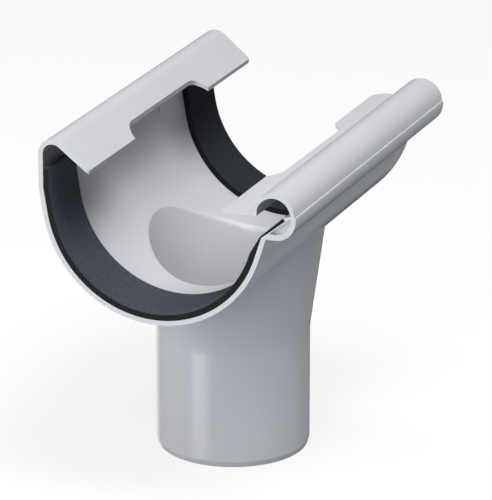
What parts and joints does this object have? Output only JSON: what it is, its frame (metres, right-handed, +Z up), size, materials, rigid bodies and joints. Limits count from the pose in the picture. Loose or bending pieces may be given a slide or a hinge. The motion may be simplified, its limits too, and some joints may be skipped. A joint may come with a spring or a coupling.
{
  "type": "gutter outlet",
  "caption": "moulded half-round gutter outlet with a folded rear clip flap, a split front bead housing, foam end seals and a tapered neck to a round downpipe spigot",
  "frame": {"origin": "centre of the spigot's open lower end", "axes": "+Z up along the spigot, Y along the gutter, +X towards the front bead housing and -X towards the rear clip flap"},
  "size_m": [0.1296, 0.189, 0.1772],
  "materials": {
    "moulding": "light grey moulded plastic, semi-matt",
    "seal": "dark slate foam rubber, matt"
  },
  "bodies": {
    "root": {"outlet_body": "moulding", "near_seal": "seal", "far_seal": "seal"}
  },
  "joints": []
}
